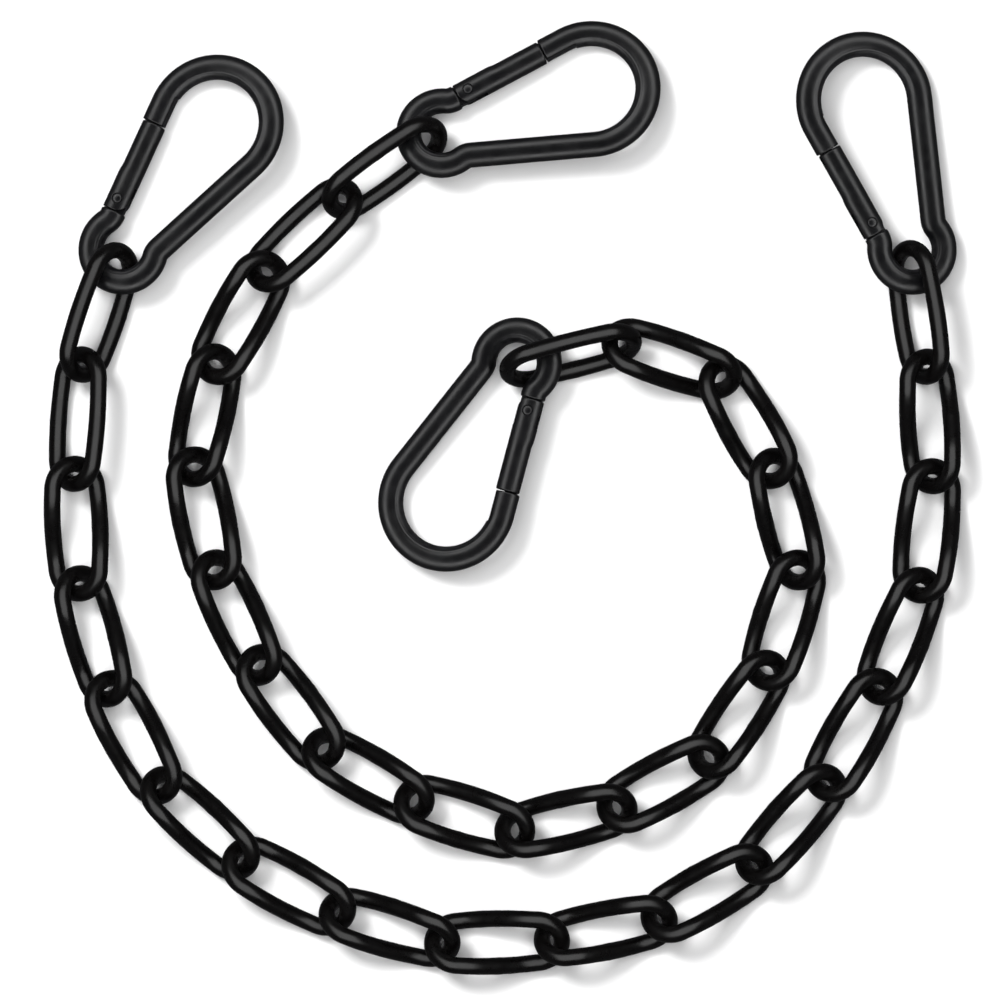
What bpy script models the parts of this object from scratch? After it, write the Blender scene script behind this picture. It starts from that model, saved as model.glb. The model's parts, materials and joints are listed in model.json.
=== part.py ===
"""A pair of hanging chains lying flat, one curled inside the other.

Each chain has seventeen twisted welded links and a pear-shaped snap hook at either end.
Lengths are in millimetres and angles in degrees until they are placed.
Travel along a chain goes from its start hook to its end hook; +w is left of travel.
"""

import math

import bmesh
import bpy
from mathutils import Matrix, Vector

MM = 0.001
# The middle of the pair's outline in plan, moved onto the origin
PLAN_CENTRE = (-0.44, -0.1)
EDGE_ANGLE = 35.0

# Links
LINK_WIRE_R = 2.6
LINK_LENGTH = 44.5
LINK_HALF = LINK_LENGTH / 2 - LINK_WIRE_R
LINK_BOW_R = 7.9
LINK_SIDE_W = 8.1
LINK_BULGE = 0.4
LINK_BOW_U = LINK_HALF - LINK_BOW_R
LINK_TWIST_U = 12.2
LINK_TWISTS = {1: 33.0, 0: 40.0}
LINK_SIDES = 8
ROOT_LINK = 9
LINK_COUNT = 17

# Each chain: the middle of its ninth link, the pitch, every link's heading, and the roll of both
# ends of the links that differ. The others are twisted evenly: odd and even ones by LINK_TWISTS.
CHAINS = {
    "a": {
        "middle": (-2.1, -134.8),
        "pitch": 33.25,
        "headings": (
            *(-108.5, -94, -87.5, -74.5, -62, -42.5, -28.5, -16.5),
            *(1.5, 11, 29.5, 49, 61, 68, 84, 93.5, 98.5),
        ),
        "rolls": {
            **{1: (-48, -47), 2: (45, 45), 17: (-50, -52)},
            **{5: (-33, 36), 6: (-42, 40), 8: (-40, 42), 10: (-42, 40), 11: (-36, 36), 12: (-42, 40)},
        },
    },
    "b": {
        "middle": (-12.0, -96.8),
        "pitch": 31.92,
        "headings": (
            *(-144, -136.5, -118.5, -102, -78.5, -65, -53, -29.5),
            *(-17, 13, 28.5, 56.5, 72.5, 104.5, 119.5, 161.5, 194),
        ),
        "rolls": {1: (-51, -50), 2: (43, 43), 15: (-33, 38), 16: (-44, 40), 17: (-59, -60)},
    },
}

# Snap hooks: the eye's centre, its height, the heading from the eye to the big bow, the tilt
# about that line and the link that the eye holds.
HOOKS = {
    "a1": {"eye": (-115.3, 75.3), "height": 8.1, "heading": 53.8, "tilt": -14.0, "link": ("a", 1)},
    "a2": {"eye": (123.6, 75.3), "height": 8.1, "heading": 107.9, "tilt": 14.0, "link": ("a", 17)},
    "b1": {"eye": (-18.8, 110.4), "height": 8.5, "heading": 16.5, "tilt": -14.0, "link": ("b", 1)},
    "b2": {"eye": (3.8, 40.7), "height": 7.9, "heading": 243.4, "tilt": 12.0, "link": ("b", 17)},
}
HOOK_WIRE_R = 3.9
HOOK_SIDES = 12
EYE_R = 10.1
BIG_R = 17.4
BOW_DISTANCE = 47.0
SIDE_ANGLE = 12.0
NECK_R = 5.0
RIVET_U = 11.3

# Gate, measured along it from the rivet
GATE_START = -3.62
GATE_END = 25.15
SHOULDER = -3.95
SPLIT = 25.56
FORK_END = 5.0
FORK_HALF = 1.5
TONGUE_R = 3.3
TONGUE_FLAT = 2.4
TONGUE_HALF = 1.3
CATCH_START = 22.4
CATCH_HALF = 0.9
TIP_SLOT_START = 21.9
TIP_SLOT_HALF = 1.2
NOSE_FLAT_Y = -3.2
NOSE_FLAT_END = 35.2
BORE_R = 1.9
BORE_START = 2.0
BORE_END = 17.0
RIVET_R = 1.2
RIVET_HOLE_R = 1.3
RIVET_HEAD_R = 1.45
RIVET_HEAD_Z = 3.25
RIVET_TOP_Z = 4.05
POCKET_R = 1.62
POCKET_Z = 3.2
PLUNGER_R = 1.7
PLUNGER_START = 2.5
PLUNGER_HEAD_END = 4.5
PLUNGER_STEM_R = 0.9
PLUNGER_END = 10.0
SPRING_WIRE_R = 0.28
SPRING_R = 1.45
SPRING_START = 4.85
SPRING_END = 16.65
SPRING_TURNS = 7


def sin(degrees):
    return math.sin(math.radians(degrees))


def cos(degrees):
    return math.cos(math.radians(degrees))


def tan(degrees):
    return math.tan(math.radians(degrees))


for old in list(bpy.data.objects):
    bpy.data.objects.remove(old)

parts = bpy.data.collections.new("hanging_chain_pair")
bpy.context.scene.collection.children.link(parts)
workshop = bpy.data.collections.new("workshop")
workshop.hide_render = True
bpy.context.scene.collection.children.link(workshop)


def make_material(name, colour, roughness, metallic):
    material = bpy.data.materials.new(name)
    material.use_nodes = True
    shader = material.node_tree.nodes["Principled BSDF"]
    shader.inputs["Base Color"].default_value = (*colour, 1)
    shader.inputs["Roughness"].default_value = roughness
    shader.inputs["Metallic"].default_value = metallic
    return material


MATERIALS = {
    "link": make_material("link_black_coat", (0.012, 0.012, 0.013), 0.42, 0.0),
    "hook": make_material("hook_black_coat", (0.018, 0.018, 0.021), 0.48, 0.0),
    "gate": make_material("gate_black_coat", (0.019, 0.019, 0.022), 0.48, 0.0),
    "rivet": make_material("rivet_black_steel", (0.03, 0.03, 0.034), 0.4, 0.6),
    "spring": make_material("spring_steel", (0.35, 0.35, 0.36), 0.35, 1.0),
    "plunger": make_material("plunger_steel", (0.3, 0.3, 0.31), 0.4, 1.0),
}


# Shapes


def wire(name, points, radius, sides, closed=False):
    """A round wire along the points, in metres."""
    curve = bpy.data.curves.new(name, "CURVE")
    curve.dimensions = "3D"
    curve.fill_mode = "FULL"
    curve.bevel_depth = radius * MM
    curve.bevel_resolution = (sides - 4) // 2
    curve.use_fill_caps = not closed
    spline = curve.splines.new("POLY")
    spline.points.add(len(points) - 1)
    for place, point in zip(spline.points, points):
        place.co = (*(Vector(point) * MM), 1)
    spline.use_cyclic_u = closed
    spline.use_smooth = True
    return curve


def plate(name, outline, half_thickness):
    """A flat plate with this (x, y) outline, lying in z = 0."""
    curve = bpy.data.curves.new(name, "CURVE")
    curve.dimensions = "2D"
    curve.fill_mode = "BOTH"
    curve.extrude = half_thickness * MM
    spline = curve.splines.new("POLY")
    spline.points.add(len(outline) - 1)
    for place, (x, y) in zip(spline.points, outline):
        place.co = (x * MM, y * MM, 0, 1)
    spline.use_cyclic_u = True
    return curve


def solid(data, placing=None):
    """A closed mesh object made from curve data, for joining or cutting."""
    holder = bpy.data.objects.new(data.name + "_shape", data)
    workshop.objects.link(holder)
    bpy.context.view_layer.update()
    graph = bpy.context.evaluated_depsgraph_get()
    mesh = bpy.data.meshes.new_from_object(holder.evaluated_get(graph))
    bpy.data.objects.remove(holder)
    merge_points(mesh)
    result = bpy.data.objects.new(data.name, mesh)
    result.display_type = "WIRE"
    workshop.objects.link(result)
    if placing is not None:
        mesh.transform(placing)
    return result


def merge_points(mesh):
    work = bmesh.new()
    work.from_mesh(mesh)
    bmesh.ops.remove_doubles(work, verts=work.verts, dist=1e-6)
    bmesh.ops.recalc_face_normals(work, faces=work.faces)
    work.to_mesh(mesh)
    work.free()


def soften(mesh):
    """Smooth shading, with the edges sharper than EDGE_ANGLE kept."""
    for face in mesh.polygons:
        face.use_smooth = True
    mesh.set_sharp_from_angle(angle=math.radians(EDGE_ANGLE))
    return mesh


def combine(base, others, operation):
    """Joins the others to the base, or cuts them from it."""
    for other in others:
        step = base.modifiers.new(other.name, "BOOLEAN")
        step.operation = operation
        step.solver = "EXACT"
        step.object = other
    bpy.context.view_layer.update()
    graph = bpy.context.evaluated_depsgraph_get()
    mesh = bpy.data.meshes.new_from_object(base.evaluated_get(graph))
    base.modifiers.clear()
    base.data = mesh
    for other in others:
        bpy.data.objects.remove(other)


def box(name, x, y, z):
    """A cutting block between the given pairs of limits."""
    outline = [(x[0], y[0]), (x[1], y[0]), (x[1], y[1]), (x[0], y[1])]
    middle = Matrix.Translation((0, 0, (z[0] + z[1]) / 2 * MM))
    return solid(plate(name, outline, (z[1] - z[0]) / 2), middle)


def rod(name, radius, start, end, axis, sides=12):
    ends = [Vector(axis) * start, Vector(axis) * end]
    return solid(wire(name, ends, radius, sides))


def arc(centre, radius, first, last, steps):
    """Points of an arc, from one angle to the other, both included."""
    angles = [first + (last - first) * step / steps for step in range(steps + 1)]
    return [(centre[0] + radius * cos(angle), centre[1] + radius * sin(angle)) for angle in angles]


# Links


def twist_share(u):
    """How much of its twist the link has reached at u: -1 at its start bow, 1 at its end bow."""
    return math.sin(math.pi / 2 * max(-1.0, min(1.0, u / LINK_TWIST_U)))


def side_width(u, twist):
    """Half the width between the sides, shaped so that a twisted link looks evenly bowed from above."""
    middle = LINK_SIDE_W * cos(twist) + LINK_BULGE
    shown = middle - (middle - LINK_BOW_R * cos(twist)) * (u / LINK_BOW_U) ** 2
    return shown / cos(twist * twist_share(u))


def link_line(roll_start, roll_end):
    """Centreline of a link about its own middle: u along it, w across, n up."""
    middle = (roll_start + roll_end) / 2
    swing = (roll_end - roll_start) / 2
    half = LINK_BOW_U / 2
    outline = []
    outline += arc((LINK_BOW_U, 0), LINK_BOW_R, 90, -90, 6)
    outline += [(u, -side_width(u, swing)) for u in (half, 0, -half)]
    outline += arc((-LINK_BOW_U, 0), LINK_BOW_R, -90, -270, 6)
    outline += [(u, side_width(u, swing)) for u in (-half, 0, half)]
    points = []
    for u, across in outline:
        roll = middle + swing * twist_share(u)
        points.append((u, across * cos(roll), across * sin(roll)))
    return points



def rolls_of(chain, number):
    twist = LINK_TWISTS[number % 2]
    return CHAINS[chain]["rolls"].get(number, (-twist, twist))


def drop_of(chain, number):
    """How far the wire's centreline hangs below the link's long axis."""
    return -min(point[2] for point in link_line(*rolls_of(chain, number)))


def joints_of(chain):
    """The eighteen points where the chain's links meet each other and the hooks."""
    data = CHAINS[chain]
    pitch = data["pitch"]
    steps = [Vector((cos(angle), sin(angle))) * pitch for angle in data["headings"]]
    first = Vector(data["middle"]) - Vector(PLAN_CENTRE) - steps[ROOT_LINK - 1] / 2
    for step in steps[: ROOT_LINK - 1]:
        first -= step
    plan = [first]
    for step in steps:
        plan.append(plan[-1] + step)
    drops = [drop_of(chain, number) for number in range(1, LINK_COUNT + 1)]
    heights = [drops[0]] + [max(pair) for pair in zip(drops, drops[1:])] + [drops[-1]]
    return [Vector((*spot, LINK_WIRE_R + rise)) for spot, rise in zip(plan, heights)]


def add(name, data, material, placing, parent=None):
    """Adds one piece at a placing in millimetres, hung from its parent."""
    piece = bpy.data.objects.new(name, data)
    parts.objects.link(piece)
    piece.data.materials.clear()
    piece.data.materials.append(MATERIALS[material])
    place = Matrix.Translation(placing.translation * MM) @ placing.to_3x3().to_4x4()
    if parent is not None:
        piece.parent = parent
        place = parent.matrix_world.inverted() @ place
    piece.matrix_basis = place
    bpy.context.view_layer.update()
    return piece


def axes(origin, along, left):
    """A placing whose x axis is `along` and whose y axis leans towards `left`."""
    x = Vector(along).normalized()
    z = x.cross(Vector(left)).normalized()
    y = z.cross(x)
    return Matrix.Translation(origin) @ Matrix((x, y, z)).transposed().to_4x4()


def add_link(chain, number, joints, parent):
    """The ninth link turns about its middle; the others hang from the joint nearer the ninth."""
    start, end = joints[number - 1], joints[number]
    along = end - start
    middle = (start + end) / 2
    if number == ROOT_LINK:
        origin = middle
    else:
        origin = start if number > ROOT_LINK else end
    placing = axes(origin, along, (-along.y, along.x, 0))
    shift = (middle - origin).dot(along.normalized())
    points = [(u + shift, w, n) for u, w, n in link_line(*rolls_of(chain, number))]
    name = f"chain_{chain}_link_{number:02d}"
    return add(name, wire(name, points, LINK_WIRE_R, LINK_SIDES, closed=True), "link", placing, parent)


# Snap hooks, in the hook's own plane: u from the eye's centre to the big bow's, v to the gate side

GATE_LINE_V = BIG_R / cos(SIDE_ANGLE) - BOW_DISTANCE * tan(SIDE_ANGLE)
RIVET = Vector((RIVET_U, GATE_LINE_V + RIVET_U * tan(SIDE_ANGLE), 0))
GATE_AXIS = Vector((cos(SIDE_ANGLE), sin(SIDE_ANGLE), 0))
GATE_PLACE = Matrix.Translation(RIVET * MM) @ Matrix.Rotation(math.radians(SIDE_ANGLE), 4, "Z")


def neck_centre():
    """Centre of the small arc that blends the eye into a straight side, on the gate side."""
    offset = GATE_LINE_V + NECK_R / cos(SIDE_ANGLE)
    slope = tan(SIDE_ANGLE)
    a = 1 + slope * slope
    b = 2 * slope * offset
    c = offset * offset - (EYE_R + NECK_R) ** 2
    u = (-b + math.sqrt(b * b - 4 * a * c)) / (2 * a)
    return u, offset + slope * u


def hook_line():
    """Centreline of the hook's bent bar, from the shoulder at the gate round to the nose."""
    neck = neck_centre()
    meet = math.degrees(math.atan2(neck[1], neck[0]))
    first = -90 + SIDE_ANGLE
    path = [tuple((RIVET + GATE_AXIS * SHOULDER)[:2])]
    path += arc(neck, NECK_R, first, meet - 180, 3)
    path += arc((0, 0), EYE_R, meet, 360 - meet, 13)[1:]
    path += arc((neck[0], -neck[1]), NECK_R, 180 - meet, -first, 3)[1:]
    path += arc((BOW_DISTANCE, 0), BIG_R, -90 - SIDE_ANGLE, 90 + SIDE_ANGLE, 12)
    path.append(tuple((RIVET + GATE_AXIS * SPLIT)[:2]))
    return [(u, v, 0) for u, v in path]


def make_hook_body():
    body = solid(wire("hook_body", hook_line(), HOOK_WIRE_R, HOOK_SIDES))
    corner = math.degrees(math.acos(TONGUE_FLAT / TONGUE_R))
    tongue = [(SHOULDER - 3, -TONGUE_R + 0.3)] + arc((0, 0), TONGUE_R, -90, -corner, 4)
    tongue += arc((0, 0), TONGUE_R, corner, 90, 4) + [(SHOULDER - 3, TONGUE_R - 0.3)]
    catch = [(CATCH_START, -0.9), (SPLIT + 2, -0.9), (SPLIT + 2, 2.9), (CATCH_START + 0.7, 2.9)]
    catch += [(CATCH_START, 2.2)]
    plates = [
        solid(plate("tongue", tongue, TONGUE_HALF), GATE_PLACE),
        solid(plate("catch", catch, CATCH_HALF), GATE_PLACE),
    ]
    combine(body, plates, "UNION")
    hole = rod("rivet_hole", RIVET_HOLE_R, -6, 6, (0, 0, 1), 16)
    flat = box("nose_flat", (SPLIT - 1, NOSE_FLAT_END), (-8, NOSE_FLAT_Y), (-5, 5))
    for cutter in (hole, flat):
        cutter.data.transform(GATE_PLACE)
    combine(body, [hole, flat], "DIFFERENCE")
    return soften(body.data)


def make_gate():
    gate = rod("gate", HOOK_WIRE_R, GATE_START, GATE_END, (1, 0, 0))
    heel = arc((0, 0), -GATE_START, 180, 270, 6) + [(0, -6), (-6, -6), (-6, 0)]
    cutters = [
        solid(plate("heel", heel, 6)),
        box("fork", (-6, FORK_END), (-6, 6), (-FORK_HALF, FORK_HALF)),
        box("tip_slot", (TIP_SLOT_START, 28), (-1.4, 6), (-TIP_SLOT_HALF, TIP_SLOT_HALF)),
        rod("bore", BORE_R, BORE_START, BORE_END, (1, 0, 0)),
        rod("rivet_hole", RIVET_HOLE_R, -6, 6, (0, 0, 1), 16),
        rod("pocket_top", POCKET_R, POCKET_Z, 6, (0, 0, 1), 16),
        rod("pocket_bottom", POCKET_R, -6, -POCKET_Z, (0, 0, 1), 16),
    ]
    combine(gate, cutters, "DIFFERENCE")
    return soften(gate.data)


def lathe(name, profile, axis, steps=12):
    """A turned piece: (distance along the axis, radius) pairs, ending on the axis at both ends."""
    curve = bpy.data.curves.new(name, "CURVE")
    curve.dimensions = "3D"
    spline = curve.splines.new("POLY")
    spline.points.add(len(profile) - 1)
    for place, (along, radius) in zip(spline.points, profile):
        place.co = (radius * MM, 0, along * MM, 1)
    holder = bpy.data.objects.new(name, curve)
    workshop.objects.link(holder)
    screw = holder.modifiers.new("turn", "SCREW")
    screw.steps = screw.render_steps = steps
    screw.use_merge_vertices = True
    screw.merge_threshold = 1e-5
    bpy.context.view_layer.update()
    graph = bpy.context.evaluated_depsgraph_get()
    mesh = bpy.data.meshes.new_from_object(holder.evaluated_get(graph))
    bpy.data.objects.remove(holder)
    merge_points(mesh)
    mesh.transform(Vector((0, 0, 1)).rotation_difference(Vector(axis)).to_matrix().to_4x4())
    return soften(mesh)


def make_rivet():
    half = [(0, RIVET_R), (RIVET_HEAD_Z, RIVET_R), (RIVET_HEAD_Z, RIVET_HEAD_R)]
    half += [(RIVET_HEAD_Z + 0.35, RIVET_HEAD_R - 0.1), (RIVET_TOP_Z - 0.1, 0.8), (RIVET_TOP_Z, 0)]
    profile = [(-along, radius) for along, radius in reversed(half[1:])] + half[1:]
    return lathe("rivet", profile, (0, 0, 1))


def make_plunger():
    profile = [(PLUNGER_START, 0), (PLUNGER_START, PLUNGER_R), (PLUNGER_HEAD_END, PLUNGER_R)]
    profile += [(PLUNGER_HEAD_END, PLUNGER_STEM_R), (PLUNGER_END, PLUNGER_STEM_R), (PLUNGER_END, 0)]
    return lathe("plunger", profile, (1, 0, 0), 10)


def make_spring():
    """A coil round the plunger's stem, pressing its head onto the tongue."""
    steps = SPRING_TURNS * 8
    points = []
    for step in range(steps + 1):
        angle = 360 * step / 8
        along = SPRING_START + (SPRING_END - SPRING_START) * step / steps
        points.append((along, SPRING_R * cos(angle), SPRING_R * sin(angle)))
    return wire("spring", points, SPRING_WIRE_R, 4)


SHAPES = {
    "body": make_hook_body(),
    "gate": make_gate(),
    "rivet": make_rivet(),
    "plunger": make_plunger(),
    "spring": make_spring(),
}


def add_hook(name, data, parent):
    """The hook's own piece turns about its eye; the gate, its plunger and spring about the rivet."""
    along = Vector((cos(data["heading"]), sin(data["heading"]), 0))
    level = Vector((-along.y, along.x, 0))
    up = Vector((0, 0, 1))
    left = level * cos(data["tilt"]) + up * sin(data["tilt"])
    eye = Vector(data["eye"]) - Vector(PLAN_CENTRE)
    placing = axes((*eye, data["height"]), along, left)
    at_rivet = placing @ Matrix.Translation(RIVET)
    at_rivet = at_rivet @ Matrix.Rotation(math.radians(SIDE_ANGLE), 4, "Z")
    body = add(f"hook_{name}_body", SHAPES["body"], "hook", placing, parent)
    add(f"hook_{name}_rivet", SHAPES["rivet"], "rivet", at_rivet, body)
    gate = add(f"hook_{name}_gate", SHAPES["gate"], "gate", at_rivet, body)
    add(f"hook_{name}_plunger", SHAPES["plunger"], "plunger", at_rivet, gate)
    add(f"hook_{name}_spring", SHAPES["spring"], "spring", at_rivet, gate)


# Assembly

links = {}
for chain in CHAINS:
    joints = joints_of(chain)
    root = links.get(("a", ROOT_LINK))
    links[chain, ROOT_LINK] = add_link(chain, ROOT_LINK, joints, root)
    for number in range(ROOT_LINK + 1, LINK_COUNT + 1):
        links[chain, number] = add_link(chain, number, joints, links[chain, number - 1])
    for number in range(ROOT_LINK - 1, 0, -1):
        links[chain, number] = add_link(chain, number, joints, links[chain, number + 1])

for name, data in HOOKS.items():
    add_hook(name, data, links[data["link"]])

bpy.data.collections.remove(workshop)
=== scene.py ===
"""The finished look of a pair of hanging chains with snap hooks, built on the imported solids.

Lengths are in millimetres and angles in degrees until a mesh is made.
A link's own axes: u along it, w across it, n up. A hook's own axes: u from the eye to the
big bow, v towards the gate, n square to both.
"""

import json
import math

import bmesh
import bpy
import numpy as np
from mathutils import Matrix, Vector

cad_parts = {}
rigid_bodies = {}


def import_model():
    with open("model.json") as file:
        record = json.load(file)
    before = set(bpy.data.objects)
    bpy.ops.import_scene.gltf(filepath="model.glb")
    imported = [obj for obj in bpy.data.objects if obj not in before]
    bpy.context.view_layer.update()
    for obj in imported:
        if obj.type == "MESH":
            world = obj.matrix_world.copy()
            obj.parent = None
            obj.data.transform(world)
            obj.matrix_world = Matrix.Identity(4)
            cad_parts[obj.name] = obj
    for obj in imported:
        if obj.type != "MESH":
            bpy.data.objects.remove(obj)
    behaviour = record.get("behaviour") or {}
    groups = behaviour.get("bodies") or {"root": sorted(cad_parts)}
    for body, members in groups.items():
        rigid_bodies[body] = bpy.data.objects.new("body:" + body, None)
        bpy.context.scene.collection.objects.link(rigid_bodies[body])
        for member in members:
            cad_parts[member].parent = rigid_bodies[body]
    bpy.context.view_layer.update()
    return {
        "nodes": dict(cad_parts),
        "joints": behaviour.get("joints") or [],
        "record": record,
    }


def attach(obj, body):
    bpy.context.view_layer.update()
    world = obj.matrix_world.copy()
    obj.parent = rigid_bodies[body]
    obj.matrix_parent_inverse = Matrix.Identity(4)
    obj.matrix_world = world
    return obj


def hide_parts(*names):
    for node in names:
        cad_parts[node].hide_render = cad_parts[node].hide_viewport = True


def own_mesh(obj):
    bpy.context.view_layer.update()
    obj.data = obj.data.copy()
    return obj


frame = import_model()
joints = {joint["name"]: joint for joint in frame["joints"]}
mounts = {mount["name"]: mount for mount in frame["record"]["mounts"]}

MM = 0.001

# Links
LINK_R = 2.57
LINK_HALF = 19.65
LINK_BOW_R = 7.9
LINK_BOW_U = LINK_HALF - LINK_BOW_R
LINK_TWIST_U = 12.2
LINK_SIDE_W = 8.1
LINK_BULGE = 0.4
LINK_SIDES = 20
WELD_SWELL = 0.07
WELD_HALF = 1.7

# Hooks
BAR_R = 3.83
BAR_SIDES = 60
EYE_R = 10.1
BIG_R = 17.4
BOW_DISTANCE = 47.0
SIDE_ANGLE = 12.0
NECK_R = 5.0
RIVET_U = 11.3
SHOULDER = -3.95
SPLIT = 25.56
GATE_START = -3.62
GATE_END = 25.15
NOSE_FLAT_Y = -3.2
NOSE_FLAT_END = 35.2
BODY_EDGE = 0.45
FORMING_RIDGE_WIDTH = 3.6

# Tongue and catch plate, measured along the gate from the rivet
TONGUE_R = 3.3
TONGUE_ROOT = -6.95
TONGUE_FLAT_ANGLE = 43.3
TONGUE_HALF = 1.3
CATCH = ((22.4, -0.9), (27.5, -0.9), (27.5, 2.9), (23.1, 2.9), (22.4, 2.2))
CATCH_HALF = 0.9

# Gate, measured along it from the rivet
GATE_EDGE = 0.4
GATE_SLIM = 0.32
GATE_SLIM_FROM = 9.6
GATE_SLIM_OVER = 0.45
HEEL_R = 3.62
FORK_END = 5.0
FORK_HALF = 1.5
SLOT_START = 21.9
SLOT_END = 28.0
SLOT_FLOOR = -1.4
SLOT_HALF = 1.2
BORE_R = 1.9
BORE_START = 2.0
BORE_END = 17.0
CUTTER_REACH = 6.0

# Rivet, plunger and spring
RIVET_R = 1.2
RIVET_HOLE_R = 1.3
RIVET_HEAD_Z = 3.25
RIVET_HEAD_R = 1.45
RIVET_DOME_Z = 3.5
RIVET_DOME_R = 1.43
RIVET_DOME = 0.55
POCKET_R = 1.62
POCKET_Z = 3.2
PLUNGER_R = 1.7
PLUNGER_START = 2.5
PLUNGER_HEAD_END = 4.5
PLUNGER_STEM_R = 0.9
PLUNGER_END = 10.0
SPRING_START = 4.85
SPRING_END = 16.65
SPRING_R = 1.45
SPRING_WIRE_R = 0.27
SPRING_TURNS = 7

# Stage, in metres
FRAME_WIDTH = 0.30303
CAMERA_OVER = (-0.00077, -0.00066)
CAMERA_AIM_Z = 0.008
KEY_SPOT = (-1.08, 1.08, 2.25)
FILL_SPOT = (0.0, 0.0, 2.6)
LINK_BOX_SPOT = (0.0, 0.0, 2.2)
RING_BOXES = 8
RING_BOX_SIZE = (1.5, 1.0)
RING_DISTANCE = 2
RING_TILT = 58


def sin(degrees):
    return math.sin(math.radians(degrees))


def cos(degrees):
    return math.cos(math.radians(degrees))


def tan(degrees):
    return math.tan(math.radians(degrees))


GATE_LINE_V = BIG_R / cos(SIDE_ANGLE) - BOW_DISTANCE * tan(SIDE_ANGLE)
RIVET = Vector((RIVET_U, GATE_LINE_V + RIVET_U * tan(SIDE_ANGLE), 0))
GATE_AXIS = Vector((cos(SIDE_ANGLE), sin(SIDE_ANGLE), 0))
GATE_LEFT = Vector((-sin(SIDE_ANGLE), cos(SIDE_ANGLE), 0))


# Mesh tools


def mesh_of(name, corners, faces, uvs=None, wear=None):
    """A smooth mesh from corners in millimetres, with its uv map and a value per corner for rubbed wear,
    partly a painted highlight on the hooks' bows.
    """
    mesh = bpy.data.meshes.new(name)
    mesh.from_pydata([tuple(corner) for corner in np.asarray(corners) * MM], [], faces)
    if uvs is not None:
        layer = mesh.uv_layers.new(name="UVMap")
        layer.data.foreach_set("uv", np.asarray(uvs, dtype=float).ravel())
    values = np.zeros(len(mesh.vertices)) if wear is None else np.asarray(wear, dtype=float).ravel()
    mesh.attributes.new("wear", "FLOAT", "POINT").data.foreach_set("value", values)
    mesh.polygons.foreach_set("use_smooth", [True] * len(mesh.polygons))
    mesh.update()
    return mesh


def sweep(name, centres, ups, radii, closed, wear=None):
    """A round bar along the centres. radii has one row per centre and one column per side."""
    centres = np.asarray(centres, dtype=float)
    count, sides = radii.shape
    if closed:
        tangents = np.roll(centres, -1, axis=0) - np.roll(centres, 1, axis=0)
    else:
        tangents = np.gradient(centres, axis=0)
    tangents /= np.linalg.norm(tangents, axis=1)[:, None]
    first = ups - tangents * np.sum(ups * tangents, axis=1)[:, None]
    first /= np.linalg.norm(first, axis=1)[:, None]
    second = np.cross(tangents, first)
    angles = 2 * np.pi * np.arange(sides) / sides
    ring = first[:, None] * np.cos(angles)[None, :, None]
    ring = ring + second[:, None] * np.sin(angles)[None, :, None]
    corners = (centres[:, None] + ring * radii[:, :, None]).reshape(-1, 3)
    faces, uvs = [], []
    rows = count if closed else count - 1
    for row in range(rows):
        after = (row + 1) % count
        for side in range(sides):
            turn = (side + 1) % sides
            here, there = row * sides, after * sides
            faces.append((here + side, there + side, there + turn, here + turn))
            u0, u1 = row / rows, (row + 1) / rows
            v0, v1 = side / sides, (side + 1) / sides
            uvs += [(u0, v0), (u1, v0), (u1, v1), (u0, v1)]
    if not closed:
        corners = np.vstack([corners, centres[:1], centres[-1:]])
        tips = count * sides, count * sides + 1
        last = (count - 1) * sides
        for side in range(sides):
            turn = (side + 1) % sides
            faces.append((tips[0], side, turn))
            faces.append((tips[1], last + turn, last + side))
            uvs += [(0, 0)] * 6
    values = None
    if wear is not None:
        values = np.concatenate([wear.ravel(), np.zeros(len(corners) - wear.size)])
    return mesh_of(name, corners, faces, uvs, values)


def turned(name, profile, axis, steps=32):
    """A turned piece from (distance along the axis, radius) pairs, closed at both ends."""
    corners, faces = [], []
    for along, radius in profile:
        for step in range(steps):
            angle = 360 * step / steps
            corners.append((radius * cos(angle), radius * sin(angle), along))
    for row in range(len(profile) - 1):
        low, high = row * steps, (row + 1) * steps
        for step in range(steps):
            turn = (step + 1) % steps
            faces.append((low + step, low + turn, high + turn, high + step))
    faces.append(tuple(reversed(range(steps))))
    faces.append(tuple(range(len(corners) - steps, len(corners))))
    mesh = mesh_of(name, corners, faces)
    mesh.transform(Vector((0, 0, 1)).rotation_difference(Vector(axis)).to_matrix().to_4x4())
    mesh.set_sharp_from_angle(angle=math.radians(40))
    return mesh


def plate(name, outline, half, round_by):
    """A flat plate with this (x, y) outline and softened edges."""
    work = bmesh.new()
    low = [work.verts.new((x * MM, y * MM, -half * MM)) for x, y in outline]
    face = work.faces.new(low)
    out = bmesh.ops.extrude_face_region(work, geom=[face])
    tops = [item for item in out["geom"] if isinstance(item, bmesh.types.BMVert)]
    bmesh.ops.translate(work, verts=tops, vec=(0, 0, 2 * half * MM))
    bmesh.ops.recalc_face_normals(work, faces=work.faces)
    edges = [edge for edge in work.edges if edge.calc_face_angle(0) > 0.6]
    bmesh.ops.bevel(work, geom=edges, offset=round_by * MM, segments=2, affect="EDGES", clamp_overlap=True)
    mesh = bpy.data.meshes.new(name)
    work.to_mesh(mesh)
    work.free()
    mesh.polygons.foreach_set("use_smooth", [True] * len(mesh.polygons))
    mesh.set_sharp_from_angle(angle=math.radians(40))
    return mesh


def cylinder(name, radius, start, end, axis, steps=32):
    """A round cutter along an axis through the origin."""
    return turned(name, [(start, radius), (end, radius)], axis, steps)


def block(name, x, y, z):
    """A box cutter between these (low, high) pairs."""
    outline = [(x[0], y[0]), (x[1], y[0]), (x[1], y[1]), (x[0], y[1])]
    mesh = plate(name, outline, (z[1] - z[0]) / 2, 0.0001)
    mesh.transform(Matrix.Translation((0, 0, (z[0] + z[1]) / 2 * MM)))
    return mesh


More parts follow.
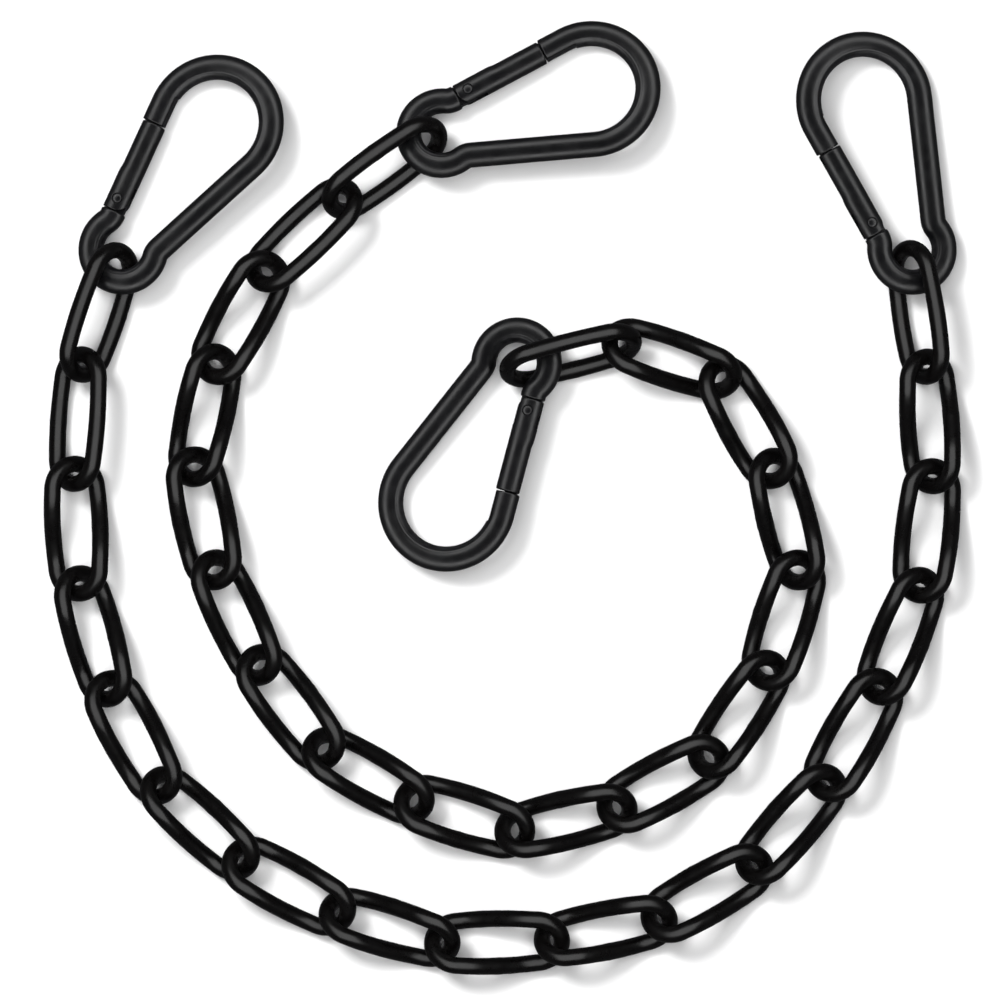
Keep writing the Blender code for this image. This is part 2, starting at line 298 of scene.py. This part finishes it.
def cut(mesh, cutters, bevel):
    """The mesh with the cutters' shapes taken away, and its new edges softened."""
    base = bpy.data.objects.new(mesh.name + "_base", mesh)
    bpy.context.scene.collection.objects.link(base)
    helpers = []
    for cutter in cutters:
        helper = bpy.data.objects.new(cutter.name, cutter)
        bpy.context.scene.collection.objects.link(helper)
        helpers.append(helper)
        step = base.modifiers.new(cutter.name, "BOOLEAN")
        step.operation = "DIFFERENCE"
        step.solver = "EXACT"
        step.object = helper
    soften = base.modifiers.new("soften", "BEVEL")
    soften.width = bevel * MM
    soften.segments = 2
    soften.limit_method = "ANGLE"
    soften.angle_limit = math.radians(50)
    bpy.context.view_layer.update()
    result = bpy.data.meshes.new_from_object(base.evaluated_get(bpy.context.evaluated_depsgraph_get()))
    for helper in helpers + [base]:
        bpy.data.objects.remove(helper)
    result.polygons.foreach_set("use_smooth", [True] * len(result.polygons))
    result.set_sharp_from_angle(angle=math.radians(35))
    return result


def merged(name, meshes):
    """One mesh holding all the given ones as they lie."""
    work = bmesh.new()
    for mesh in meshes:
        work.from_mesh(mesh)
    result = bpy.data.meshes.new(name)
    work.to_mesh(result)
    work.free()
    return result


def place(name, mesh, matrix, material, body, node, slot):
    """Puts a piece in the scene in place of a CAD node."""
    mesh = mesh.copy()
    mesh.materials.clear()
    mesh.materials.append(material)
    mesh.transform(Matrix.Translation(matrix.translation * MM) @ matrix.to_3x3().to_4x4())
    piece = bpy.data.objects.new(name, mesh)
    bpy.context.scene.collection.objects.link(piece)
    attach(piece, body)
    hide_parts(node)
    return piece


# Materials


def coat(name, dark, light, rough, worn_and_sheen, peel, mottle):
    """A satin black coat: mottled tone, orange peel, fine grain, and lighter rubbed spots where it wears,
    which on the hooks' bows are partly a painted highlight.
    """
    material = bpy.data.materials.new(name)
    material.use_nodes = True
    nodes, wires = material.node_tree.nodes, material.node_tree.links
    shader = nodes["Principled BSDF"]
    where = nodes.new("ShaderNodeTexCoord").outputs["Object"]

    def noise(scale, detail, roughness=0.5):
        """An even noise fixed to the piece, from 0 to 1."""
        node = nodes.new("ShaderNodeTexNoise")
        node.inputs["Scale"].default_value = scale
        node.inputs["Detail"].default_value = detail
        node.inputs["Roughness"].default_value = roughness
        wires.new(where, node.inputs["Vector"])
        return node.outputs["Fac"]

    def spread(value, low, high, to_low, to_high):
        """The value's range from low to high, stretched to another one."""
        node = nodes.new("ShaderNodeMapRange")
        node.inputs["From Min"].default_value = low
        node.inputs["From Max"].default_value = high
        node.inputs["To Min"].default_value = to_low
        node.inputs["To Max"].default_value = to_high
        wires.new(value, node.inputs["Value"])
        return node.outputs["Result"]

    def blend(share, first, second):
        """A colour between two colours, each a tuple or a socket."""
        node = nodes.new("ShaderNodeMix")
        node.data_type = "RGBA"
        wires.new(share, node.inputs[0])
        for socket, colour in ((node.inputs[6], first), (node.inputs[7], second)):
            if isinstance(colour, tuple):
                socket.default_value = (*colour, 1)
            else:
                wires.new(colour, socket)
        return node.outputs[2]

    def combine(first, second, operation="MULTIPLY"):
        """A sum on two values, each a number or a socket."""
        node = nodes.new("ShaderNodeMath")
        node.operation = operation
        node.use_clamp = operation == "MULTIPLY"
        for socket, value in zip(node.inputs, (first, second)):
            if isinstance(value, (int, float)):
                socket.default_value = value
            else:
                wires.new(value, socket)
        return node.outputs["Value"]

    tone = blend(spread(noise(mottle, 4.0, 0.6), 0.3, 0.7, 0, 1), dark, light)
    specks = spread(noise(2600, 2.0), 0.62, 0.75, 0, 0.35)
    tone = blend(specks, tone, tuple(1.9 * value for value in light))
    # Lighter, more metallic spots from the per-corner value: rubbed wear on the links, and on the hooks'
    # bows partly a painted highlight.
    attribute = nodes.new("ShaderNodeAttribute")
    attribute.attribute_name = "wear"
    patchy = spread(noise(700, 4.0, 0.7), 0.42, 0.6, 0, 1)
    rubbed_and_sheen = combine(attribute.outputs["Fac"], patchy)
    tone = blend(rubbed_and_sheen, tone, worn_and_sheen)
    wires.new(tone, shader.inputs["Base Color"])
    base_rough = spread(noise(240, 3.0), 0.3, 0.7, rough - 0.05, rough + 0.06)
    less = combine(rubbed_and_sheen, 0.16)
    wires.new(combine(base_rough, less, "SUBTRACT"), shader.inputs["Roughness"])
    wires.new(combine(rubbed_and_sheen, 0.7), shader.inputs["Metallic"])
    shader.inputs["IOR"].default_value = 1.5
    shader.inputs["Specular IOR Level"].default_value = 0.5

    coarse = nodes.new("ShaderNodeBump")
    coarse.inputs["Strength"].default_value = 0.5
    coarse.inputs["Distance"].default_value = peel
    wires.new(noise(900, 2.0), coarse.inputs["Height"])
    fine = nodes.new("ShaderNodeBump")
    fine.inputs["Strength"].default_value = 0.4
    fine.inputs["Distance"].default_value = peel * 0.35
    wires.new(noise(3600, 2.0), fine.inputs["Height"])
    wires.new(coarse.outputs["Normal"], fine.inputs["Normal"])
    wires.new(fine.outputs["Normal"], shader.inputs["Normal"])
    return material


def steel(name, tone, rough):
    """Plain drawn steel: fine streaks across the wire and an uneven polish."""
    material = bpy.data.materials.new(name)
    material.use_nodes = True
    nodes, wires = material.node_tree.nodes, material.node_tree.links
    shader = nodes["Principled BSDF"]
    shader.inputs["Metallic"].default_value = 1.0
    where = nodes.new("ShaderNodeTexCoord").outputs["Object"]
    streaks = nodes.new("ShaderNodeTexNoise")
    streaks.inputs["Scale"].default_value = 1800
    streaks.inputs["Detail"].default_value = 3
    wires.new(where, streaks.inputs["Vector"])
    ramp = nodes.new("ShaderNodeValToRGB")
    ramp.color_ramp.elements[0].position = 0.35
    ramp.color_ramp.elements[0].color = (*(0.7 * value for value in tone), 1)
    ramp.color_ramp.elements[1].position = 0.65
    ramp.color_ramp.elements[1].color = (*tone, 1)
    wires.new(streaks.outputs["Fac"], ramp.inputs["Fac"])
    wires.new(ramp.outputs["Color"], shader.inputs["Base Color"])
    spread = nodes.new("ShaderNodeMapRange")
    spread.inputs["To Min"].default_value = rough - 0.08
    spread.inputs["To Max"].default_value = rough + 0.1
    wires.new(streaks.outputs["Fac"], spread.inputs["Value"])
    wires.new(spread.outputs["Result"], shader.inputs["Roughness"])
    return material


LINK_COAT = coat(
    "link_coat",
    dark=(0.0004, 0.0003, 0.0003),
    light=(0.0010, 0.0008, 0.0008),
    rough=0.29,
    worn_and_sheen=(0.030, 0.029, 0.029),
    peel=0.00003,
    mottle=70,
)
HOOK_COAT = coat(
    "hook_coat",
    dark=(0.0005, 0.0005, 0.0007),
    light=(0.0013, 0.0013, 0.0017),
    rough=0.36,
    # The worn tone is partly a painted highlight on the inner curve of the bows.
    worn_and_sheen=(0.045, 0.045, 0.049),
    peel=0.00003,
    mottle=55,
)
GATE_COAT = coat(
    "gate_coat",
    dark=(0.0006, 0.0006, 0.0008),
    light=(0.0015, 0.0015, 0.0019),
    rough=0.36,
    worn_and_sheen=(0.045, 0.045, 0.049),
    peel=0.00003,
    mottle=65,
)
RIVET_COAT = coat(
    "rivet_coat",
    dark=(0.0012, 0.0012, 0.0015),
    light=(0.0026, 0.0026, 0.0031),
    rough=0.33,
    worn_and_sheen=(0.080, 0.080, 0.084),
    peel=0.00003,
    mottle=120,
)
PLUNGER_STEEL = steel("plunger_steel", (0.33, 0.33, 0.34), 0.4)
SPRING_STEEL = steel("spring_steel", (0.38, 0.38, 0.39), 0.34)


# Links


def corners_of(node):
    """A CAD node's own corners in millimetres, each once."""
    mesh = frame["nodes"][node].data
    flat = np.empty(len(mesh.vertices) * 3)
    mesh.vertices.foreach_get("co", flat)
    return np.unique(np.round(flat.reshape(-1, 3) * 1000, 3), axis=0)


def link_axes(node):
    """The link's placing and the roll of its two ends, from its CAD solid."""
    corners = corners_of(node)
    centre = corners.mean(axis=0)
    spans = np.linalg.eigh(np.cov((corners - centre).T))[1]
    along = spans[:, 2]
    across = np.cross((0, 0, 1), along)
    across /= np.linalg.norm(across)
    up = np.cross(along, across)
    own = (corners - centre) @ np.stack([along, across, up], axis=1)
    middle_u = (own[:, 0].min() + own[:, 0].max()) / 2
    centre = centre + along * middle_u
    own[:, 0] -= middle_u
    rolls = []
    for sign in (-1, 1):
        end = own[own[:, 0] * sign > LINK_TWIST_U + 1][:, 1:]
        lead = np.linalg.eigh(np.cov(end.T))[1][:, 1]
        lead = lead if lead[0] >= 0 else -lead
        rolls.append(math.degrees(math.atan2(lead[1], lead[0])))
    placing = Matrix((along, across, up)).transposed().to_4x4()
    placing.translation = Vector(centre)
    return placing, rolls[0], rolls[1]


def link_mesh(name, roll_start, roll_end, seed):
    """One bent and twisted wire with a butt weld in the middle of one side."""
    random = np.random.default_rng(seed)
    middle, swing = (roll_start + roll_end) / 2, (roll_end - roll_start) / 2
    waist = LINK_SIDE_W * cos(swing) + LINK_BULGE

    def half_width(u):
        shown = waist - (waist - LINK_BOW_R * cos(swing)) * (u / LINK_BOW_U) ** 2
        return shown / cos(swing * sin(90 * max(-1, min(1, u / LINK_TWIST_U))))

    flat = []
    bow_steps, side_steps = 30, 26
    for step in range(bow_steps):
        angle = 90 - 180 * step / bow_steps
        flat.append((LINK_BOW_U + LINK_BOW_R * cos(angle), LINK_BOW_R * sin(angle)))
    for step in range(side_steps):
        u = LINK_BOW_U - 2 * LINK_BOW_U * step / side_steps
        flat.append((u, -half_width(u)))
    for step in range(bow_steps):
        angle = -90 - 180 * step / bow_steps
        flat.append((-LINK_BOW_U + LINK_BOW_R * cos(angle), LINK_BOW_R * sin(angle)))
    for step in range(side_steps):
        u = -LINK_BOW_U + 2 * LINK_BOW_U * step / side_steps
        flat.append((u, half_width(u)))
    flat = np.array(flat)
    u, w = flat[:, 0], flat[:, 1]
    rolls = np.radians(middle + swing * np.sin(np.pi / 2 * np.clip(u / LINK_TWIST_U, -1, 1)))
    centres = np.stack([u, w * np.cos(rolls), w * np.sin(rolls)], axis=1)
    ups = np.stack([np.zeros_like(u), -np.sin(rolls), np.cos(rolls)], axis=1)

    angles = 2 * np.pi * np.arange(LINK_SIDES) / LINK_SIDES
    radii = np.full((len(flat), LINK_SIDES), LINK_R)
    bow = np.clip((np.abs(u) - LINK_BOW_U) / LINK_BOW_R, 0, 1)[:, None]
    radii *= 1 - 0.018 * bow * np.abs(np.sin(angles))[None]
    weld_side = 1 if random.random() < 0.5 else -1
    weld_u = random.uniform(-1.5, 1.5)
    near = np.exp(-(((u - weld_u) / WELD_HALF) ** 2)) * (np.sign(w) == weld_side)
    lumps = 1 + 0.35 * random.standard_normal((len(flat), LINK_SIDES))
    radii += WELD_SWELL * near[:, None] * np.clip(lumps, 0.3, 1.6)
    phase = random.uniform(0, 6.28, 3)
    travel = 2 * np.pi * np.arange(len(flat)) / len(flat)
    for turns, size, shift in zip((3, 5, 9), (0.020, 0.014, 0.008), phase):
        radii += size * np.sin(turns * travel + shift)[:, None]

    # Rubbed wear only, on the inside of each bow's tip where the next link bears.
    inside = np.clip(np.sin(angles), 0, 1)[None] ** 2
    tip = np.clip((np.abs(u) - LINK_BOW_U - 3) / (LINK_BOW_R - 3), 0, 1)[:, None]
    wear = 0.55 * tip * inside
    return sweep(name, centres, ups, radii, True, wear)


def add_links():
    """Every link, each in place of its CAD node and with its own small unevenness."""
    for number, node in enumerate(sorted(name for name in frame["nodes"] if "_link_" in name)):
        placing, roll_start, roll_end = link_axes(node)
        mesh = link_mesh(node + "_wire", roll_start, roll_end, 40 + number)
        place(node + "_wire", mesh, placing, LINK_COAT, node, node, "link_coat")


# Hooks


def hook_path():
    """The bent bar's centreline from the shoulder to the nose, with how far it lies in each bow."""
    offset = GATE_LINE_V + NECK_R / cos(SIDE_ANGLE)
    slope = tan(SIDE_ANGLE)
    a, b = 1 + slope * slope, 2 * slope * offset
    c = offset * offset - (EYE_R + NECK_R) ** 2
    neck_u = (-b + math.sqrt(b * b - 4 * a * c)) / (2 * a)
    neck_v = offset + slope * neck_u
    meet = math.degrees(math.atan2(neck_v, neck_u))
    first = -90 + SIDE_ANGLE

    def arc(centre, radius, start, end, steps):
        angles = [start + (end - start) * step / steps for step in range(steps + 1)]
        return [(centre[0] + radius * cos(x), centre[1] + radius * sin(x)) for x in angles]

    shoulder = RIVET + GATE_AXIS * SHOULDER
    nose = RIVET + GATE_AXIS * SPLIT
    path = [tuple(shoulder[:2])]
    path += arc((neck_u, neck_v), NECK_R, first, meet - 180, 12)
    path += arc((0, 0), EYE_R, meet, 360 - meet, 84)[1:]
    path += arc((neck_u, -neck_v), NECK_R, 180 - meet, -first, 12)[1:]
    big = arc((BOW_DISTANCE, 0), BIG_R, -90 - SIDE_ANGLE, 90 + SIDE_ANGLE, 110)
    start = path[-1]
    side_steps = 34
    for step in range(1, side_steps):
        share = step / side_steps
        path.append((start[0] + (big[0][0] - start[0]) * share, start[1] + (big[0][1] - start[1]) * share))
    path += big
    end = big[-1]
    nose_steps = 16
    for step in range(1, nose_steps + 1):
        share = step / nose_steps
        path.append((end[0] + (nose[0] - end[0]) * share, end[1] + (nose[1] - end[1]) * share))
    return np.array(path)


def round_ends(path, radius, edge):
    """The path with extra points at both ends, and the bar's radius at each, for softened rims."""
    steps = 4
    out, radii = [], []
    head, tail = path[1] - path[0], path[-1] - path[-2]
    head, tail = head / np.linalg.norm(head), tail / np.linalg.norm(tail)
    for step in range(steps + 1):
        angle = 90 * step / steps
        out.append(path[0] + head * edge * (1 - cos(angle)))
        radii.append(radius - edge + edge * sin(angle))
    from_head = np.linalg.norm(path - path[0], axis=1)
    from_tail = np.linalg.norm(path - path[-1], axis=1)
    for point in path[(from_head > edge * 1.5) & (from_tail > edge * 1.5)]:
        out.append(point)
        radii.append(radius)
    for step in range(steps, -1, -1):
        angle = 90 * step / steps
        out.append(path[-1] - tail * edge * (1 - cos(angle)))
        radii.append(radius - edge + edge * sin(angle))
    return np.array(out), np.array(radii)


def hook_body_mesh():
    """The bent bar with fine forming ridges inside its bows, its tongue and its catch plate."""
    path, rim = round_ends(hook_path(), BAR_R, BODY_EDGE)
    centres = np.column_stack([path, np.zeros(len(path))])
    ups = np.tile((0.0, 0.0, 1.0), (len(path), 1))
    angles = 2 * np.pi * np.arange(BAR_SIDES) / BAR_SIDES
    radii = np.repeat(rim[:, None], BAR_SIDES, axis=1)
    degrees = np.degrees(angles)
    from_eye = np.hypot(path[:, 0], path[:, 1])
    in_eye = np.exp(-(((from_eye - EYE_R) / 0.5) ** 2)) * np.clip((2.0 - path[:, 0]) / 5, 0, 1)
    turn = np.degrees(np.arctan2(path[:, 1], path[:, 0] - BOW_DISTANCE))
    from_bow = np.hypot(path[:, 0] - BOW_DISTANCE, path[:, 1])
    in_big = np.clip((from_bow > BIG_R - 0.2) * (100 - np.abs(turn)) / 20, 0, 1)
    for share, at, height in ((in_eye, 318, 0.24), (in_eye, 336, 0.16), (in_big, 330, 0.20)):
        ridge = np.exp(-(((degrees - at) / FORMING_RIDGE_WIDTH) ** 2))
        radii += height * share[:, None] * ridge[None]
    # Painted highlight along the inner curve of the eye and the big bow, partly also rubbed wear where the
    # links bear: the coat is lighter and more metallic there.
    inside = np.clip(-np.sin(angles), 0, 1)[None] ** 2
    wear = 0.35 * in_eye[:, None] * inside + 0.25 * in_big[:, None] * inside
    mesh = sweep("hook_bar", centres, ups, radii, False, wear)

    for corner in mesh.vertices:
        spot = corner.co / MM - RIVET
        along, left = spot.dot(GATE_AXIS), spot.dot(GATE_LEFT)
        if SPLIT - 1 < along < NOSE_FLAT_END and NOSE_FLAT_Y - 1.5 < left < NOSE_FLAT_Y:
            corner.co += GATE_LEFT * (NOSE_FLAT_Y - left) * MM

    tongue = [(TONGUE_ROOT, 0.3 - TONGUE_R)]
    for start, end in ((-90, -TONGUE_FLAT_ANGLE), (TONGUE_FLAT_ANGLE, 90)):
        for step in range(9):
            angle = start + (end - start) * step / 8
            tongue.append((TONGUE_R * cos(angle), TONGUE_R * sin(angle)))
    tongue.append((TONGUE_ROOT, TONGUE_R - 0.3))
    at_gate = Matrix.Translation(RIVET * MM) @ Matrix.Rotation(math.radians(SIDE_ANGLE), 4, "Z")
    pieces = [mesh]
    for name, outline, half in (("tongue", tongue, TONGUE_HALF), ("catch", CATCH, CATCH_HALF)):
        flat = plate(name, outline, half, 0.15)
        flat.transform(at_gate)
        pieces.append(flat)
    return merged("hook_body", pieces)


def gate_mesh():
    """The gate's bar with its heel, fork, tip slot, spring bore, rivet hole and rivet pockets."""
    steps = 60
    length = GATE_END - GATE_START
    line = np.array([(GATE_START + length * step / steps, 0.0) for step in range(steps + 1)])
    path, rim = round_ends(line, BAR_R, GATE_EDGE)
    centres = np.column_stack([path, np.zeros(len(path))])
    ups = np.tile((0.0, 0.0, 1.0), (len(path), 1))
    angles = 2 * np.pi * np.arange(BAR_SIDES) / BAR_SIDES
    radii = np.repeat(rim[:, None], BAR_SIDES, axis=1)
    outer = np.clip(-np.sin(angles), 0, 1)[None]
    slim = 1 / (1 + np.exp(-(path[:, 0] - GATE_SLIM_FROM) / GATE_SLIM_OVER))
    radii -= GATE_SLIM * slim[:, None] * outer
    mesh = sweep("gate_bar", centres, ups, radii, False)
    heel = [(HEEL_R * cos(angle), HEEL_R * sin(angle)) for angle in range(180, 271, 10)]
    past = CUTTER_REACH
    heel += [(0, -past), (-past, -past), (-past, 0)]
    cutters = [
        plate("heel", heel, past, 0.0001),
        block("fork", (-past, FORK_END), (-past, past), (-FORK_HALF, FORK_HALF)),
        block("tip_slot", (SLOT_START, SLOT_END), (SLOT_FLOOR, past), (-SLOT_HALF, SLOT_HALF)),
        cylinder("bore", BORE_R, BORE_START, BORE_END, (1, 0, 0)),
        cylinder("rivet_hole", RIVET_HOLE_R, -past, past, (0, 0, 1)),
        cylinder("pocket_top", POCKET_R, POCKET_Z, past, (0, 0, 1)),
        cylinder("pocket_bottom", POCKET_R, -past, -POCKET_Z, (0, 0, 1)),
    ]
    return cut(mesh, cutters, 0.12)


def rivet_mesh():
    """A pin with a low domed head on each side of the gate."""
    half = [(0, RIVET_R), (RIVET_HEAD_Z, RIVET_R), (RIVET_HEAD_Z, 1.34), (3.3, 1.42), (3.4, RIVET_HEAD_R)]
    for angle in range(0, 91, 10):
        half.append((RIVET_DOME_Z + RIVET_DOME * sin(angle), RIVET_DOME_R * cos(angle)))
    half[-1] = (RIVET_DOME_Z + RIVET_DOME, 0.02)
    profile = [(-along, radius) for along, radius in reversed(half[1:])] + half[1:]
    return turned("rivet", profile, (0, 0, 1), 40)


def plunger_mesh():
    """A headed pin: the head presses on the tongue and the stem guides the spring."""
    start, end, radius, stem = PLUNGER_START, PLUNGER_HEAD_END, PLUNGER_R, PLUNGER_STEM_R
    profile = [(start, radius - 0.2), (start + 0.12, radius - 0.05), (start + 0.25, radius)]
    profile += [(end - 0.2, radius), (end - 0.08, radius - 0.05), (end, radius - 0.2)]
    profile += [(end + 0.05, stem), (PLUNGER_END - 0.2, stem), (PLUNGER_END, stem - 0.2)]
    return turned("plunger", profile, (1, 0, 0), 28)


def spring_mesh():
    """A coil from the plunger's head to the end of the bore."""
    turn_steps = 24
    steps = SPRING_TURNS * turn_steps
    turn = np.radians(360 * np.arange(steps + 1) / turn_steps)
    along = SPRING_START + (SPRING_END - SPRING_START) * np.arange(steps + 1) / steps
    centres = np.stack([along, SPRING_R * np.cos(turn), SPRING_R * np.sin(turn)], axis=1)
    ups = np.tile((1.0, 0.0, 0.0), (steps + 1, 1))
    return sweep("spring", centres, ups, np.full((steps + 1, 10), SPRING_WIRE_R), False)


def add_hooks():
    """Every hook's five pieces, placed by the hook's joints and mount."""
    shapes = {
        "body": (hook_body_mesh(), HOOK_COAT, "hook_coat"),
        "gate": (gate_mesh(), GATE_COAT, "gate_coat"),
        "rivet": (rivet_mesh(), RIVET_COAT, "rivet_coat"),
        "plunger": (plunger_mesh(), PLUNGER_STEEL, "plunger_steel"),
        "spring": (spring_mesh(), SPRING_STEEL, "spring_steel"),
    }
    bodies = {"body": "body", "gate": "gate", "rivet": "body", "plunger": "plunger", "spring": "gate"}
    for key in ("a1", "a2", "b1", "b2"):
        eye = Vector(joints[f"hook_{key}_eye_hinge"]["pos_m"]) / MM
        u = Vector(mounts[f"hook_{key}_bow"]["axis"]).normalized()
        n = -Vector(joints[f"hook_{key}_gate_hinge"]["axis"]).normalized()
        v = n.cross(u)
        at_eye = Matrix.Translation(eye) @ Matrix((u, v, n)).transposed().to_4x4()
        at_rivet = at_eye @ Matrix.Translation(RIVET) @ Matrix.Rotation(math.radians(SIDE_ANGLE), 4, "Z")
        for shape, (mesh, material, slot) in shapes.items():
            node = f"hook_{key}_{shape}"
            matrix = at_eye if shape == "body" else at_rivet
            body = f"hook_{key}_{bodies[shape]}"
            piece = place(node + "_fine", mesh, matrix, material, body, node, slot)
            if shape == "spring":
                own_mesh(piece)


add_links()
add_hooks()


# Stage: floor, lights, camera


def area_light(name, spot, size, power, receivers=None, mirrored=True):
    """A soft box aimed at the origin. With receivers it lights only that collection's pieces."""
    data = bpy.data.lights.new(name, "AREA")
    data.shape = "RECTANGLE"
    data.size, data.size_y = size
    data.energy = power
    lamp = bpy.data.objects.new(name, data)
    lamp.location = spot
    lamp.rotation_euler = (-Vector(spot)).to_track_quat("-Z", "Y").to_euler()
    lamp.visible_camera = False
    lamp.visible_glossy = mirrored
    bpy.context.scene.collection.objects.link(lamp)
    if receivers:
        lamp.light_linking.receiver_collection = receivers


def lit_group(name, part_of_name):
    """The visible pieces whose name holds this word, as one collection for the soft boxes."""
    group = bpy.data.collections.new(name)
    for piece in bpy.context.scene.objects:
        if part_of_name in piece.name and piece.type == "MESH":
            group.objects.link(piece)
    return group


def add_lights():
    """A key that casts the shadow, a fill for the floor, and soft boxes that the coats mirror."""
    links, hooks = lit_group("links", "_link_"), lit_group("hooks", "hook_")
    area_light("key", KEY_SPOT, size=(0.8, 0.8), power=60, mirrored=False)
    area_light("fill", FILL_SPOT, size=(2.6, 2.6), power=68, mirrored=False)
    area_light("over_links", LINK_BOX_SPOT, size=(3.4, 3.4), power=68, receivers=links)
    reach, height = RING_DISTANCE * sin(RING_TILT), RING_DISTANCE * cos(RING_TILT)
    for step in range(RING_BOXES):
        around = 360 / RING_BOXES * (step + 0.5)
        spot = (reach * cos(around), reach * sin(around), height)
        area_light(f"ring_{step}", spot, size=RING_BOX_SIZE, power=12, receivers=hooks)


def add_floor():
    """A wide sheet of matt white paper just under the lowest link."""
    mesh = bpy.data.meshes.new("floor")
    reach, level = 12.0, -0.0001
    signs = ((-1, -1), (1, -1), (1, 1), (-1, 1))
    mesh.from_pydata([(reach * x, reach * y, level) for x, y in signs], [], [(0, 1, 2, 3)])
    floor = bpy.data.objects.new("floor", mesh)
    bpy.context.scene.collection.objects.link(floor)
    material = bpy.data.materials.new("floor_paper")
    material.use_nodes = True
    shader = material.node_tree.nodes["Principled BSDF"]
    shader.inputs["Base Color"].default_value = (0.93, 0.93, 0.93, 1)
    shader.inputs["Roughness"].default_value = 0.95
    shader.inputs["Specular IOR Level"].default_value = 0.1
    mesh.materials.append(material)
    floor.visible_glossy = False


def add_world():
    """A dim room, a little lighter low down, for the bars' edges to mirror."""
    world = bpy.data.worlds.new("studio")
    bpy.context.scene.world = world
    world.use_nodes = True
    nodes, wires = world.node_tree.nodes, world.node_tree.links
    background = nodes["Background"]
    where = nodes.new("ShaderNodeTexCoord")
    split = nodes.new("ShaderNodeSeparateXYZ")
    ramp = nodes.new("ShaderNodeValToRGB")
    ramp.color_ramp.elements[0].position = 0.0
    ramp.color_ramp.elements[0].color = (0.07, 0.07, 0.073, 1)
    ramp.color_ramp.elements[1].position = 0.9
    ramp.color_ramp.elements[1].color = (0.02, 0.02, 0.021, 1)
    wires.new(where.outputs["Generated"], split.inputs["Vector"])
    wires.new(split.outputs["Z"], ramp.inputs["Fac"])
    wires.new(ramp.outputs["Color"], background.inputs["Color"])
    background.inputs["Strength"].default_value = 1.0


def add_camera():
    """Straight down on the pair, from far off so that heights hardly shift anything."""
    data = bpy.data.cameras.new("camera")
    data.sensor_width = 36.0
    data.lens = 560.0
    distance = FRAME_WIDTH / 2 / (data.sensor_width / 2 / data.lens)
    camera = bpy.data.objects.new("camera", data)
    camera.location = (*CAMERA_OVER, CAMERA_AIM_Z + distance)
    data.clip_start, data.clip_end = 0.1, 40.0
    bpy.context.scene.collection.objects.link(camera)
    bpy.context.scene.camera = camera


add_floor()
add_world()
add_lights()
add_camera()
bpy.context.scene.view_settings.view_transform = "Standard"
